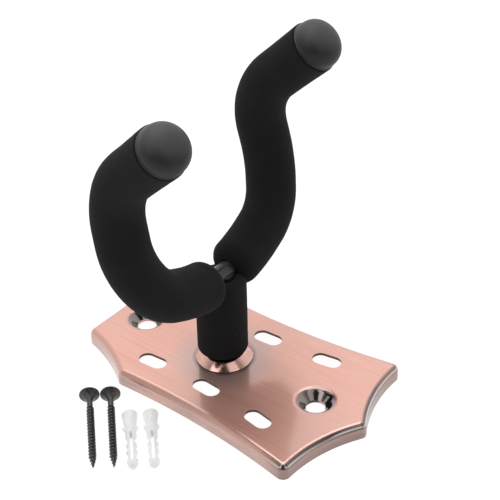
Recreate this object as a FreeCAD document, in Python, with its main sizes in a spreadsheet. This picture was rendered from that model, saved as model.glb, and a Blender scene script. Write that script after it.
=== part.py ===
import FreeCAD, Part
import math
import os

import Sketcher
from FreeCAD import Placement, Rotation, Vector

# Wall guitar hanger, in millimetres, lying on its back as it does on a bench.
# The origin is on the stem's axis, in the plane of the plate's rim, which is the face that meets the wall.
# +Z points away from the wall along the stem, +X up the wall towards the wide end of the plate, Y across it.
# Left is +Y and right is -Y, as someone who faces the wall sees them.

SIZES = [
    # plate, seen from the front: a straight narrow end, a waist, two shoulders and a point
    ("plate_height", 6.7, "rim plane to the plate's front face"),
    ("sheet", 1.2, "thickness of the pressed sheet"),
    ("nut_back", 57.8, "straight narrow end, behind the stem axis"),
    ("nut_half", 20.6, "half width of the narrow end"),
    ("waist_back", 28.4, "waist corner, behind the stem axis"),
    ("waist_half", 34.0, "half width at the waist corner"),
    ("shoulder_front", 61.2, "shoulder corner, ahead of the stem axis"),
    ("shoulder_half", 39.9, "half width at the shoulder corner"),
    ("tip_front", 71.2, "point of the wide end, ahead of the stem axis"),
    ("taper_radius", 77, "hollow side between narrow end and waist"),
    ("side_radius", 355, "hollow long side"),
    ("crown_radius", 64, "each of the two hollows of the wide end"),
    ("corner_round", 3, "corner rounding in plan"),
    ("edge_round", 2.8, "rounding of the front edge"),
    # countersunk screw holes
    ("hole_back", 43.0, "screw hole nearer the narrow end"),
    ("hole_front", 46.6, "screw hole nearer the wide end"),
    ("hole_radius", 4.0, "screw hole"),
    ("dimple_lip", 9.4, "radius where the dimple leaves the flat face"),
    ("dimple_mouth", 7.6, "radius of the cone at the front face"),
    ("dimple_depth", 3.5, "front face to the hole's edge"),
    ("dimple_round", 4.0, "rounding of the dimple's lip"),
    # six slots, three on each side
    ("slot_length", 12.7, "end to end"),
    ("slot_width", 7.0, "across"),
    ("slot_back_x", -21.6, "first pair"),
    ("slot_back_y", 20.3, "first pair, from the middle"),
    ("slot_back_turn", -4.1, "degrees"),
    ("slot_mid_x", 6.9, "second pair"),
    ("slot_mid_y", 20.3, "second pair, from the middle"),
    ("slot_mid_turn", 4.0, "degrees"),
    ("slot_front_x", 35.4, "third pair"),
    ("slot_front_y", 22.9, "third pair, from the middle"),
    ("slot_front_turn", 9.2, "degrees"),
    # pivot at the foot of the stem
    ("journal_radius", 4.0, "turned end of the stem"),
    ("running_gap", 0.05, "clearance of every running fit"),
    ("collar_radius", 11.8, "foot of the collar"),
    ("collar_top_radius", 8.4, "top of the collar"),
    ("collar_height", 3.55, "above the plate"),
    ("collar_edge", 0.7, "straight edge at the collar's foot"),
    ("collar_crown", 24.0, "bulge of the collar's side"),
    ("backing_radius", 12, "backing washer"),
    ("backing_thickness", 1.0, "backing washer"),
    ("friction_radius", 7.5, "friction washer"),
    ("friction_thickness", 0.5, "friction washer"),
    ("retainer_radius", 7.0, "washer under the bolt head"),
    ("retainer_thickness", 1.0, "washer under the bolt head"),
    ("bolt_radius", 3.0, "pivot bolt's thread"),
    ("bolt_length", 12, "pivot bolt under its head"),
    ("bolt_head_radius", 5.5, "pivot bolt"),
    ("bolt_head_height", 2.2, "pivot bolt"),
    ("bolt_socket", 2.0, "half the width across flats of the hexagon socket"),
    ("bolt_socket_depth", 1.4, "hexagon socket"),
    # stem and yoke
    ("stem_radius", 5.0, "stem rod"),
    ("rod_radius", 4.0, "yoke rod"),
    ("yoke_turn", 2.7, "degrees that the yoke stands turned about the stem"),
    ("hub_x", 0.6, "corner where the two lowest runs of the yoke would meet"),
    ("hub_z", 42.3, "corner where the two lowest runs of the yoke would meet"),
    ("hub_bend", 64, "bend radius across the stem"),
    ("elbow_x", -1.7, "first corner of an arm"),
    ("elbow_y", 37.4, "first corner of an arm"),
    ("elbow_z", 58.0, "first corner of an arm"),
    ("elbow_bend", 24.5, "bend radius at the first corner"),
    ("side_x", -8.2, "second corner of an arm"),
    ("side_y", 45.9, "second corner of an arm"),
    ("side_z", 75.7, "second corner of an arm"),
    ("side_bend", 38, "bend radius at the second corner"),
    ("knee_x", -14.5, "third corner of an arm"),
    ("knee_y", 44.3, "third corner of an arm"),
    ("knee_z", 106.1, "third corner of an arm"),
    ("knee_bend", 27, "bend radius at the third corner"),
    ("tip_x", 12.5, "end of the foam, under the cap"),
    ("tip_y", 47.0, "end of the foam, under the cap"),
    ("tip_z", 132.2, "end of the foam, under the cap"),
    ("rod_overrun", 6.0, "rod beyond the end of the foam, inside the cap"),
    ("saddle_rise", 1.3, "walls of the stem's saddle above the middle of the rod"),
    ("weld_radius", 1.1, "weld beads under the yoke rod"),
    # foam and caps
    ("arm_foam_radius", 10.3, "foam on the arms"),
    ("arm_foam_gap", 6.8, "stem axis to the foam on each arm, along the rod"),
    ("stem_foam_radius", 10.4, "foam on the stem"),
    ("stem_foam_foot", 11.5, "height of the stem foam's lower end"),
    ("stem_foam_top", 42.4, "height of the stem foam's upper end"),
    ("foam_fit", 0.1, "between foam or cap and rod"),
    ("foam_round", 1.4, "rounding of the stem foam's lower end"),
    ("cap_radius", 10.1, "end cap"),
    ("cap_band", 0.8, "straight edge of the cap"),
    ("cap_rise", 8.4, "dome above the straight edge"),
    ("cap_socket", 6.5, "depth of the cap's socket"),
    # screws and wall plugs that come with it, lying beside the plate
    ("screw_length", 41, "head to point"),
    ("screw_head_radius", 4.15, "head"),
    ("screw_head_edge", 0.4, "rim of the head"),
    ("screw_neck", 4.6, "head to the start of the shank"),
    ("screw_flare", 4.6, "hollow flank under the head"),
    ("screw_radius", 1.5, "thread, outside"),
    ("screw_core", 1.1, "shank above the thread"),
    ("screw_thread_start", 7.0, "from the head"),
    ("screw_point", 6.0, "length of the point"),
    ("screw_recess_radius", 2.0, "cross recess"),
    ("screw_recess_width", 1.0, "cross recess"),
    ("screw_recess_depth", 1.6, "cross recess"),
    ("plug_length", 30, "collar to nose"),
    ("plug_mouth_radius", 3.2, "flared mouth"),
    ("plug_radius", 2.3, "body"),
    ("plug_leg_radius", 1.7, "split legs"),
    ("plug_barb_radius", 2.3, "barbs on the legs"),
    ("plug_bore", 1.3, "bore for the screw, at the mouth"),
    ("plug_bore_end", 0.45, "the bore tapers to this at the nose"),
    ("plug_slit", 1.0, "slit between the legs"),
    ("plug_wing_radius", 3.3, "reach of the two wings"),
]

# where the loose screws and plugs lie: middle of the head or mouth, and the way the point looks, in degrees
SCREW_PLACES = [(-30.0, -49.7, -44.9), (-23.6, -44.2, -45.5)]
PLUG_PLACES = [(-9.2, -48.6, -45.4), (-3.0, -43.1, -45.5)]

SLOTS = ["back", "mid", "front"]
ARM_CORNERS = ["elbow", "side", "knee", "tip"]
SIDES = (("left", 1), ("right", -1))
FLOOR_GAP = 0.02  # keeps the loose pieces just clear of the surface under them

doc = FreeCAD.newDocument("guitar_hanger")
sheet = doc.addObject("Spreadsheet::Sheet", "Sizes")
for row, (alias, value, meaning) in enumerate(SIZES, start=1):
    sheet.set(f"A{row}", alias)
    sheet.set(f"B{row}", str(value))
    sheet.set(f"C{row}", meaning)
    sheet.setAlias(f"B{row}", alias)
doc.recompute()


def size(alias):
    """One driving dimension, for shapes that are worked out in code."""
    return float(sheet.get(alias))


def expand(words):
    """Spells the sheet's name out in front of every alias, so that an expression can be written short."""
    out = ""
    word = ""
    for letter in words + " ":
        if letter.isalnum() or letter == "_":
            word += letter
            continue
        out += f"Sizes.{word}" if word in ALIASES else word
        out += letter
        word = ""
    return out.strip()


ALIASES = {alias for alias, _, _ in SIZES}


def value_of(words):
    """The number that an expression comes to."""
    return float(sheet.evalExpression(expand(words)))


# ---------------------------------------------------------------- sketches and bodies


def new_body(label):
    body = doc.addObject("PartDesign::Body", label)
    body.Label = label
    return body


def plane(body, role):
    return [item for item in body.Origin.OriginFeatures if item.Role == role][0]


def new_sketch(body, name, role):
    sketch = body.newObject("Sketcher::SketchObject", f"{body.Label}_{name}")
    sketch.AttachmentSupport = [(plane(body, role), "")]
    sketch.MapMode = "FlatFace"
    return sketch


def bind(sketch, constraint, words):
    """Adds a dimension to a sketch and binds it to the sheet."""
    number = sketch.addConstraint(constraint)
    sketch.setExpression(f"Constraints[{number}]", expand(words))


def fix_point(sketch, geometry, end, x_words, y_words):
    """Holds one point of a sketch at a place given by two expressions."""
    for kind, axis, words in (("DistanceX", -2, x_words), ("DistanceY", -1, y_words)):
        value = value_of(words)
        if abs(value) < 1e-9:
            sketch.addConstraint(Sketcher.Constraint("PointOnObject", geometry, end, axis))
        elif value > 0:
            bind(sketch, Sketcher.Constraint(kind, -1, 1, geometry, end, value), words)
        else:
            bind(sketch, Sketcher.Constraint(kind, geometry, end, -1, 1, -value), f"-({words})")


def arc_between(start, end, radius):
    """The short arc from start to end, with its centre on the left, or on the right for a negative radius."""
    chord = end - start
    middle = (start + end) * 0.5
    left = Vector(-chord.y, chord.x, 0).normalize()
    rise = math.sqrt(radius * radius - chord.Length**2 / 4)
    centre = middle + left * math.copysign(rise, radius)
    first = math.atan2(start.y - centre.y, start.x - centre.x)
    last = math.atan2(end.y - centre.y, end.x - centre.x)
    circle = Part.Circle(centre, Vector(0, 0, 1), abs(radius))
    return Part.ArcOfCircle(circle, first, last) if radius > 0 else Part.ArcOfCircle(circle, last, first)


def profile(body, name, role, points, arcs=None):
    """A closed outline through points given as pairs of expressions.

    arcs gives a sign and a radius expression for a segment that is an arc: + bends left, - bends right.
    """
    arcs = arcs or {}
    sketch = new_sketch(body, name, role)
    places = [Vector(value_of(x), value_of(y), 0) for x, y in points]
    ends = []
    for index, start in enumerate(places):
        end = places[(index + 1) % len(places)]
        if index in arcs:
            sign, words = arcs[index]
            geometry = sketch.addGeometry(arc_between(start, end, sign * value_of(words)), False)
            bind(sketch, Sketcher.Constraint("Radius", geometry, value_of(words)), words)
            ends.append((geometry, 1, 2) if sign > 0 else (geometry, 2, 1))
        else:
            geometry = sketch.addGeometry(Part.LineSegment(start, end), False)
            ends.append((geometry, 1, 2))
    for index, (geometry, first, _) in enumerate(ends):
        before, _, last = ends[index - 1]
        sketch.addConstraint(Sketcher.Constraint("Coincident", before, last, geometry, first))
        fix_point(sketch, geometry, first, *points[index])
    return sketch


def add_circle(sketch, x_words, y_words, radius_words):
    centre = Vector(value_of(x_words), value_of(y_words), 0)
    circle = Part.Circle(centre, Vector(0, 0, 1), value_of(radius_words))
    geometry = sketch.addGeometry(circle, False)
    fix_point(sketch, geometry, 3, x_words, y_words)
    bind(sketch, Sketcher.Constraint("Radius", geometry, value_of(radius_words)), radius_words)


def feature(body, kind, name, **settings):
    """Adds a PartDesign feature; text settings that start with = are bound to the sheet."""
    item = body.newObject(f"PartDesign::{kind}", f"{body.Label}_{name}")
    for key, setting in settings.items():
        if isinstance(setting, str) and setting.startswith("="):
            item.setExpression(key, expand(setting[1:]))
        else:
            setattr(item, key, setting)
    return item


def turned(label, points, arcs=None):
    """A piece turned on a lathe: its section in the XZ plane, as radius and height, goes round Z."""
    body = new_body(label)
    sketch = profile(body, "section", "XZ_Plane", points, arcs)
    feature(body, "Revolution", "turn", Profile=sketch, ReferenceAxis=(sketch, ["V_Axis"]), Angle=360)
    return body


def rounded(body, name, radius_words, chosen):
    """Rounds the edges of the body's shape that the test picks."""
    doc.recompute()
    base = body.Tip
    names = [f"Edge{number}" for number, edge in enumerate(base.Shape.Edges, start=1) if chosen(edge)]
    return feature(body, "Fillet", name, Base=(base, names), Radius=f"={radius_words}")


def cut_checked(body, name, kind, **settings):
    """A subtractive feature that has to take material away."""
    doc.recompute()
    before = body.Tip.Shape.Volume
    item = feature(body, kind, name, **settings)
    doc.recompute()
    if item.Shape.Volume >= before - 1e-6:
        raise RuntimeError(f"{item.Label} cuts nothing")
    return item


def at_height(edge, height):
    heights = [vertex.Z for vertex in edge.Vertexes] + [edge.CenterOfMass.z]
    return all(abs(z - height) < 1e-4 for z in heights)


def is_upright(edge):
    run = edge.Vertexes[-1].Point - edge.Vertexes[0].Point
    return run.Length > 1 and abs(abs(run.z) - run.Length) < 1e-4


# ---------------------------------------------------------------- plate


def base_plate():
    """Pressed sheet plate with a turned-down rim, two countersunk dimples, six slots and the stem's hole."""
    body = new_body("base_plate")
    outline = profile(
        body,
        "outline",
        "XY_Plane",
        [
            ("-nut_back", "-nut_half"),
            ("-waist_back", "-waist_half"),
            ("shoulder_front", "-shoulder_half"),
            ("tip_front", "0"),
            ("shoulder_front", "shoulder_half"),
            ("-waist_back", "waist_half"),
            ("-nut_back", "nut_half"),
        ],
        {
            0: (-1, "taper_radius"),
            1: (-1, "side_radius"),
            2: (-1, "crown_radius"),
            3: (-1, "crown_radius"),
            4: (-1, "side_radius"),
            5: (-1, "taper_radius"),
        },
    )
    feature(body, "Pad", "block", Profile=outline, Length="=plate_height")
    rounded(body, "corners", "corner_round", is_upright)
    front = size("plate_height")
    rounded(body, "front_edge", "edge_round", lambda edge: at_height(edge, front))
    doc.recompute()
    back = [f"Face{n}" for n, face in enumerate(body.Tip.Shape.Faces, 1) if face.CenterOfMass.z < 1e-4]
    opened = (body.Tip, back)
    cut_checked(body, "hollow", "Thickness", Base=opened, Value="=sheet", Reversed=True, Mode=0, Join=0)

    openings = new_sketch(body, "openings", "XY_Plane")
    add_circle(openings, "0", "0", "journal_radius + running_gap")
    add_circle(openings, "-hole_back", "0", "dimple_lip")
    add_circle(openings, "hole_front", "0", "dimple_lip")
    cut_checked(body, "punched", "Pocket", Profile=openings, Length="=plate_height + 1", Reversed=True)
    for name, place in (("back", "-hole_back"), ("front", "hole_front")):
        dimple(body, name, place)
    slots(body)
    return body


def dimple(body, name, place):
    """One countersunk dimple: a cone of sheet hung from the front face, open at its foot for the screw."""
    rise = "(dimple_depth / (dimple_mouth - hole_radius))"
    drop = f"(sheet * sqrt(1 + {rise} * {rise}))"
    foot = "plate_height - dimple_depth"
    under_foot = f"hole_radius + ({drop} - sheet) / {rise}"
    under_mouth = f"hole_radius + (dimple_depth - sheet + {drop}) / {rise}"
    section = profile(
        body,
        f"dimple_{name}_section",
        "XZ_Plane",
        [
            (f"{place} + dimple_lip", "plate_height"),
            (f"{place} + dimple_mouth", "plate_height"),
            (f"{place} + hole_radius", foot),
            (f"{place} + hole_radius", f"{foot} - sheet"),
            (f"{place} + {under_foot}", f"{foot} - sheet"),
            (f"{place} + {under_mouth}", "plate_height - sheet"),
            (f"{place} + dimple_lip", "plate_height - sheet"),
        ],
    )
    centre = Vector(value_of(place), 0, 0)
    top = centre + Vector(0, size("plate_height"), 0)
    axis = sketch_axis(section, centre, top, place)
    feature(body, "Revolution", f"dimple_{name}", Profile=section, ReferenceAxis=(section, [axis]), Angle=360)
    front = size("plate_height")
    mouth = size("dimple_mouth")
    rounded(
        body,
        f"dimple_{name}_lip",
        "dimple_round",
        lambda edge: at_height(edge, front)
        and isinstance(edge.Curve, Part.Circle)
        and abs(edge.Curve.Radius - mouth) < 1e-3
        and abs(edge.Curve.Center.x - centre.x) < 1e-3,
    )


def sketch_axis(sketch, low, high, place):
    """A construction line to revolve about, over the given place on the X axis."""
    line = sketch.addGeometry(Part.LineSegment(low, high), True)
    fix_point(sketch, line, 1, place, "0")
    fix_point(sketch, line, 2, place, "plate_height")
    return "Axis0"


def slots(body):
    """Three round-ended slots on one side, mirrored to the other."""
    sketch = new_sketch(body, "slots", "XY_Plane")
    for name in SLOTS:
        turn = f"(slot_{name}_turn * 1 deg)"
        reach = "(slot_length - slot_width) / 2"
        angle = math.radians(size(f"slot_{name}_turn"))
        radius = size("slot_width") / 2
        along = Vector(math.cos(angle), math.sin(angle), 0)
        middle = Vector(size(f"slot_{name}_x"), size(f"slot_{name}_y"), 0)
        arcs = []
        for side in (-1, 1):
            centre = middle + along * side * value_of(reach)
            begin = angle + (math.pi / 2 if side < 0 else -math.pi / 2)
            circle = Part.Circle(centre, Vector(0, 0, 1), radius)
            arc = sketch.addGeometry(Part.ArcOfCircle(circle, begin, begin + math.pi), False)
            x_words = f"slot_{name}_x + {side} * {reach} * cos({turn})"
            y_words = f"slot_{name}_y + {side} * {reach} * sin({turn})"
            fix_point(sketch, arc, 3, x_words, y_words)
            bind(sketch, Sketcher.Constraint("Radius", arc, radius), "slot_width / 2")
            arcs.append(arc)
        across = Vector(-along.y, along.x, 0) * radius
        offset = along * value_of(reach)
        sides = []
        for sign in (1, -1):
            first, last = middle + (offset + across) * sign, middle + (across - offset) * sign
            sides.append(sketch.addGeometry(Part.LineSegment(first, last), False))
        loop = [arcs[1], sides[0], arcs[0], sides[1]]
        for index, item in enumerate(loop):
            sketch.addConstraint(Sketcher.Constraint("Tangent", loop[index - 1], 2, item, 1))
    cut = cut_checked(body, "slots_cut", "Pocket", Profile=sketch, Length="=plate_height + 1", Reversed=True)
    mirror_plane = (plane(body, "XZ_Plane"), [""])
    body.Tip = feature(body, "Mirrored", "slots_both", Originals=[cut], MirrorPlane=mirror_plane)


# ---------------------------------------------------------------- pivot


def ring(label, inner, outer, low, high):
    return turned(label, [(inner, low), (outer, low), (outer, high), (inner, high)])


def stem_collar():
    """Domed collar that the stem's shoulder stands on."""
    bore = "journal_radius + running_gap"
    edge = "plate_height + collar_edge"
    top = "plate_height + collar_height"
    body = turned(
        "stem_collar",
        [
            (bore, "plate_height"),
            ("collar_radius", "plate_height"),
            ("collar_radius", edge),
            ("collar_top_radius", top),
            (bore, top),
        ],
        {2: (1, "collar_crown")},
    )
    foot = size("plate_height")
    rounded(body, "foot_edge", "0.4", lambda item: at_height(item, foot) and item.Length > 60)
    return body


UNDERSIDE = "plate_height - sheet"
UNDER_BACKING = f"{UNDERSIDE} - backing_thickness"
JOURNAL_END = f"{UNDER_BACKING} - friction_thickness - 2 * running_gap"
HEAD_SEAT = f"{JOURNAL_END} - retainer_thickness"
SHOULDER = "plate_height + collar_height + running_gap"


def backing_washer():
    return ring("backing_washer", "journal_radius + running_gap", "backing_radius", UNDER_BACKING, UNDERSIDE)


def friction_washer():
    high = f"{UNDER_BACKING} - running_gap"
    low = f"{high} - friction_thickness"
    return ring("friction_washer", "journal_radius + 2 * running_gap", "friction_radius", low, high)


def retaining_washer():
    return ring("retaining_washer", "bolt_radius + running_gap", "retainer_radius", HEAD_SEAT, JOURNAL_END)


def pivot_bolt():
    """Low-headed bolt that holds the stem to the plate from behind."""
    foot = f"{HEAD_SEAT} - bolt_head_height"
    body = turned(
        "pivot_bolt",
        [
            ("0", foot),
            ("bolt_head_radius", foot),
            ("bolt_head_radius", HEAD_SEAT),
            ("bolt_radius", HEAD_SEAT),
            ("bolt_radius", f"{HEAD_SEAT} + bolt_length"),
            ("0", f"{HEAD_SEAT} + bolt_length"),
        ],
    )
    head = value_of(foot)
    rounded(body, "head_edge", "0.6", lambda edge: at_height(edge, head))
    corners = []
    for corner in range(6):
        turn = f"({60 * corner + 30} * 1 deg)"
        reach = "(bolt_socket / cos(30 deg))"
        corners.append((f"{reach} * cos({turn})", f"{reach} * sin({turn})"))
    socket = profile(body, "socket", "XY_Plane", corners)
    depth = f"={foot} + bolt_socket_depth"
    cut_checked(body, "socket_cut", "Pocket", Profile=socket, Length=depth, Reversed=True)
    return body


# ---------------------------------------------------------------- yoke


def yoke_placement():
    return Placement(Vector(0, 0, 0), Rotation(Vector(0, 0, 1), size("yoke_turn")))


def corner(name, side):
    """A corner of the yoke rod's route; side is 1 for the left arm, at +Y, and -1 for the right."""
    if name == "hub":
        return Vector(size("hub_x"), 0, size("hub_z"))
    return Vector(size(f"{name}_x"), side * size(f"{name}_y"), size(f"{name}_z"))


def bend(before, at, after, radius):
    """The arc that rounds a corner: its centre and its two ends."""
    back = (before - at).normalize()
    on = (after - at).normalize()
    half = back.getAngle(on) / 2
    centre = at + (back + on).normalize() * (radius / math.sin(half))
    reach = radius / math.tan(half)
    return centre, at + back * reach, at + on * reach


def arc_point(centre, start, end, share):
    """The point that lies a share of the way round from start to end."""
    first, last = start - centre, end - centre
    angle = first.getAngle(last)
    return centre + first * (math.sin((1 - share) * angle) / math.sin(angle)) + last * (
        math.sin(share * angle) / math.sin(angle)
    )


def route(points, radii, first_arc=None):
    """Straight runs joined by tangent arcs; first_arc, if given, is an arc that leads into the route."""
    edges = []
    here = points[0]
    if first_arc:
        centre, start, end = first_arc
        edges.append(Part.Arc(start, arc_point(centre, start, end, 0.5), end).toShape())
        here = end
    for index, radius in enumerate(radii, start=1):
        centre, start, end = bend(points[index - 1], points[index], points[index + 1], radius)
        edges.append(Part.LineSegment(here, start).toShape())
        edges.append(Part.Arc(start, arc_point(centre, start, end, 0.5), end).toShape())
        here = end
    edges.append(Part.LineSegment(here, points[-1]).toShape())
    return Part.Wire(edges)


def beyond(start, through, more):
    """A point further along a line."""
    return through + (through - start).normalize() * more


def arm_radii():
    return [size("elbow_bend"), size("side_bend"), size("knee_bend")]


def rod_route():
    """The whole yoke rod, from one cap over the stem to the other."""
    right = [corner(name, -1) for name in ARM_CORNERS]
    left = [corner(name, 1) for name in ARM_CORNERS]
    right[-1] = beyond(right[-2], right[-1], size("rod_overrun"))
    left[-1] = beyond(left[-2], left[-1], size("rod_overrun"))
    radii = arm_radii()[::-1] + [size("hub_bend")] + arm_radii()
    return route(right[::-1] + [corner("hub", 1)] + left, radii)


def hub_arc(side):
    """The bend over the stem, as its centre and its two ends, running towards one arm."""
    return bend(corner("elbow", -side), corner("hub", side), corner("elbow", side), size("hub_bend"))


def foam_route(side):
    """One arm's centre line, from the hub end of its foam to its cap."""
    centre, start, end = hub_arc(side)
    whole = (start - centre).getAngle(end - centre)
    share = 0.5 + size("arm_foam_gap") / size("hub_bend") / whole
    points = [corner("hub", side)] + [corner(name, side) for name in ARM_CORNERS]
    return route(points, arm_radii(), (centre, arc_point(centre, start, end, share), end))


def tube(name, wire, radius_words):
    """A round section swept along a wire."""
    spine = doc.addObject("Part::Feature", f"{name}_route")
    spine.Shape = wire
    edge = wire.Edges[0]
    section = doc.addObject("Part::Circle", f"{name}_section")
    section.setExpression("Radius", expand(radius_words))
    heading = wire.OrderedEdges[0].tangentAt(wire.OrderedEdges[0].FirstParameter)
    section.Placement = Placement(wire.OrderedVertexes[0].Point, Rotation(Vector(0, 0, 1), heading))
    sweep = doc.addObject("Part::Sweep", name)
    sweep.Sections = [section]
    sweep.Spine = (spine, [f"Edge{number}" for number in range(1, len(wire.Edges) + 1)])
    sweep.Solid = True
    doc.recompute()
    expected = math.pi * value_of(radius_words) ** 2 * wire.Length
    if abs(sweep.Shape.Volume / expected - 1) > 0.002:
        raise RuntimeError(f"{name} has {sweep.Shape.Volume:.0f} mm3, not {expected:.0f}")
    return sweep


def yoke_rod():
    """One steel rod, bent to both arms."""
    rod = tube("yoke_rod", rod_route(), "rod_radius")
    rod.Placement = yoke_placement().multiply(rod.Placement)
    return rod


def hub_centre():
    """Middle of the yoke rod where it crosses the stem."""
    centre, start, end = hub_arc(1)
    return arc_point(centre, start, end, 0.5)


def stem_rod():
    """Stem: a turned journal at its foot, tapped from below, and a saddle for the yoke rod at its top."""
    hub = hub_centre()
    top = f"{hub.z:.3f} + saddle_rise"
    thread = "bolt_radius + 0.02"
    thread_end = f"{HEAD_SEAT} + bolt_length + 1"
    body = turned(
        "stem_rod",
        [
            (thread, JOURNAL_END),
            ("journal_radius", JOURNAL_END),
            ("journal_radius", SHOULDER),
            ("stem_radius", SHOULDER),
            ("stem_radius", top),
            ("0", top),
            ("0", thread_end),
            (thread, thread_end),
        ],
    )
    wall = "(rod_radius + running_gap)"
    round_part = new_sketch(body, "saddle_round", "XZ_Plane")
    add_circle(round_part, f"{hub.x:.3f}", f"{hub.z:.3f}", wall)
    cut_checked(body, "saddle_round_cut", "Pocket", Profile=round_part, Length=30, Midplane=True)
    low, high = f"{hub.z:.3f}", f"{top} + 1"
    left, right = f"{hub.x:.3f} - {wall}", f"{hub.x:.3f} + {wall}"
    corners = [(left, low), (right, low), (right, high), (left, high)]
    straight_part = profile(body, "saddle_walls", "XZ_Plane", corners)
    cut_checked(body, "saddle_walls_cut", "Pocket", Profile=straight_part, Length=30, Midplane=True)
    body.Placement = yoke_placement()
    return body


def hub_weld():
    """The two weld beads, one each side of the stem, that hold the yoke rod in the saddle from below."""
    hub = hub_centre()
    beads = []
    for side in (-1, 1):
        bead = doc.addObject("Part::Torus", "weld_bead")
        bead.setExpression("Radius1", expand("rod_radius + 0.1"))
        bead.setExpression("Radius2", expand("weld_radius"))
        place = Vector(hub.x, side * size("stem_radius"), hub.z)
        bead.Placement = Placement(place, Rotation(Vector(0, 0, 1), Vector(0, 1, 0)))
        beads.append(bead)
    both = doc.addObject("Part::MultiFuse", "weld_beads")
    both.Shapes = beads
    stem_core = doc.addObject("Part::Cylinder", "weld_stem")
    stem_core.setExpression("Radius", expand("stem_radius"))
    stem_core.Height = 2 * hub.z
    above = doc.addObject("Part::Box", "weld_above")
    above.Length, above.Width, above.Height = 20, 20, 10
    above.Placement.Base = Vector(-10, -10, hub.z)
    cores = doc.addObject("Part::MultiFuse", "weld_cores")
    cores.Shapes = [stem_core, tube("weld_rod", rod_route(), "rod_radius"), above]
    weld = doc.addObject("Part::Cut", "hub_weld")
    weld.Base = both
    weld.Tool = cores
    weld.Placement = yoke_placement()
    return weld


def foam_arm(label, side):
    """Foam sleeve of one arm, from the hub to its cap."""
    wire = foam_route(side)
    sleeve = doc.addObject("Part::Cut", label)
    sleeve.Base = tube(f"{label}_outside", wire, "arm_foam_radius")
    sleeve.Tool = tube(f"{label}_bore", wire, "rod_radius + foam_fit")
    sleeve.Placement = yoke_placement()
    return sleeve


def foam_stem():
    """Foam sleeve of the stem; its upper end is hollowed where the sleeves of the arms press into it."""
    bore = "stem_radius + foam_fit"
    body = ring("foam_stem_sleeve", bore, "stem_foam_radius", "stem_foam_foot", "stem_foam_top")
    foot = size("stem_foam_foot")
    inside = size("stem_foam_radius") - 0.01
    rounded(body, "foot", "foam_round", lambda edge: at_height(edge, foot) and edge.Curve.Radius > inside)
    hollow = "arm_foam_radius + foam_fit"
    arms = doc.addObject("Part::MultiFuse", "foam_stem_hollows")
    arms.Shapes = [tube(f"foam_stem_hollow_{word}", foam_route(side), hollow) for word, side in SIDES]
    sleeve = doc.addObject("Part::Cut", "foam_stem")
    sleeve.Base = body
    sleeve.Tool = arms
    sleeve.Placement = yoke_placement()
    return sleeve


def end_cap(label, side):
    """Domed cap pushed on the end of the rod, against the foam."""
    knee, tip = corner("knee", side), corner("tip", side)
    socket = "rod_radius + running_gap"
    body = turned(
        label,
        [
            (socket, "0"),
            ("cap_radius", "0"),
            ("cap_radius", "cap_band"),
            ("0", "cap_band + cap_rise"),
            ("0", "cap_socket"),
            (socket, "cap_socket"),
        ],
        {2: (1, "(cap_radius * cap_radius + cap_rise * cap_rise) / (2 * cap_rise)")},
    )
    inside = size("cap_radius") - 0.01
    rounded(body, "rim", "0.35", lambda edge: at_height(edge, 0) and edge.Curve.Radius > inside)
    local = Placement(tip, Rotation(Vector(0, 0, 1), tip - knee))
    body.Placement = yoke_placement().multiply(local)
    return body


# ---------------------------------------------------------------- loose screws and plugs


def lying(x, y, heading, head_radius, far_radius, far):
    """Lays a piece on its two fattest places, with its point, at -Z, along the heading and its +X up."""
    tilt = math.asin((head_radius - far_radius) / far)
    angle = math.radians(heading)
    look = Vector(math.cos(angle) * math.cos(tilt), math.sin(angle) * math.cos(tilt), -math.sin(tilt))
    height = head_radius * math.cos(tilt) + FLOOR_GAP
    return Placement(Vector(x, y, height), Rotation(Vector(0, 0, 1), Vector(), -look, "ZXY"))


def group(label, pieces):
    compound = doc.addObject("Part::Compound", label)
    compound.Links = pieces
    return compound


def screw(name, place):
    """Screw with a trumpet head and a cross recess; its thread is a plain core, as thick as the thread."""
    body = turned(
        name,
        [
            ("0", "0"),
            ("0", "-screw_length"),
            ("screw_radius", "screw_point - screw_length"),
            ("screw_radius", "-screw_thread_start"),
            ("screw_core", "-screw_thread_start"),
            ("screw_core", "-screw_neck"),
            ("screw_head_radius", "-screw_head_edge"),
            ("screw_head_radius", "0"),
        ],
        {5: (-1, "screw_flare")},
    )
    half, reach = "screw_recess_width / 2", "screw_recess_radius"
    cross = []
    for turn in range(4):
        for x, y in ((reach, f"-{half}"), (reach, half), (half, half)):
            for _ in range(turn):
                x, y = f"-({y})", x
            cross.append((x, y))
    recess = profile(body, "recess", "XY_Plane", cross)
    cut_checked(body, "recess_cut", "Pocket", Profile=recess, Length="=screw_recess_depth")
    x, y, heading = place
    far = size("screw_length") - size("screw_point")
    body.Placement = lying(x, y, heading, size("screw_head_radius"), size("screw_radius"), far)
    return body


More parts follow.
